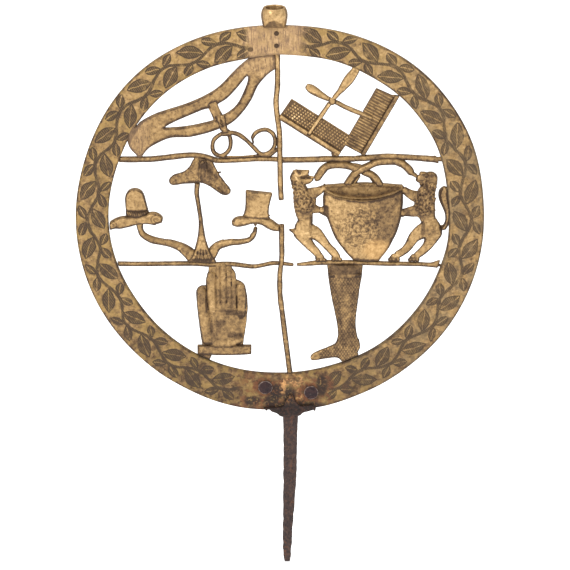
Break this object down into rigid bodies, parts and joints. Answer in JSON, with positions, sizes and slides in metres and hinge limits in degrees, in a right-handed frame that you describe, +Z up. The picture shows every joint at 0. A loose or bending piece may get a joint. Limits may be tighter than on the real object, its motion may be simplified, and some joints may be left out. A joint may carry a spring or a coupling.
{
  "type": "guild pole emblem",
  "caption": "Flat cast brass ring with openwork trade figures between crossbars, a small socket for a finial on top and a forged iron tang for a pole below.",
  "frame": {"origin": "middle of the tang's shoulder, where the top of the pole comes", "axes": "+Z up along the emblem towards the socket, -Y the engraved front, +X to the viewer's right"},
  "size_m": [0.288, 0.0184, 0.4215],
  "materials": {
    "ring_brass": "cast brass with dark brown patina and an engraved border",
    "figure_brass": "cast brass, worn bright on the high places and brown in the hollows",
    "rod_brass": "drawn and hammered brass rod with brown patina",
    "socket_brass": "turned brass, pale and scratched",
    "dark_brass": "brass with dark hatching",
    "rivet_dark": "blackened rivet heads",
    "wrought_iron": "forged iron with brown-purple rust",
    "rivet_iron": "forged iron rivets, rusted, with brighter rims"
  },
  "bodies": {
    "root": {"ring_band": "ring_brass", "top_socket": "socket_brass", "socket_rivets": "rivet_dark", "upright_upper": "rod_brass", "upright_lower": "rod_brass", "upper_bar_left_outer": "rod_brass", "upper_bar_left_inner": "rod_brass", "upper_bar_right_inner": "rod_brass", "upper_bar_right_outer": "rod_brass", "lower_bar_left": "rod_brass", "lower_bar_right": "rod_brass", "collar_frame": "figure_brass", "collar_strut": "rod_brass", "cord_scroll": "rod_brass", "left_card_board": "figure_brass", "left_card_teeth": "dark_brass", "right_card_board": "figure_brass", "right_card_teeth": "dark_brass", "left_card_handle": "rod_brass", "right_card_handle": "rod_brass", "handle_boss": "rod_brass", "stand_stem": "figure_brass", "stand_arm_left": "figure_brass", "stand_arm_right": "figure_brass", "bicorne_hat": "figure_brass", "round_hat_crown": "figure_brass", "round_hat_band": "dark_brass", "round_hat_brim": "figure_brass", "top_hat_crown": "figure_brass", "top_hat_brim": "figure_brass", "kettle_body": "figure_brass", "kettle_mouth": "dark_brass", "left_roll": "figure_brass", "right_roll": "figure_brass", "left_lion": "figure_brass", "right_lion": "figure_brass", "right_lion_tail": "figure_brass", "glove_hand": "figure_brass", "glove_cuff": "figure_brass", "glove_link": "figure_brass", "stocking": "figure_brass", "iron_tang": "wrought_iron", "tang_rivets": "rivet_iron", "rivet_washers": "rivet_iron"}
  },
  "joints": []
}
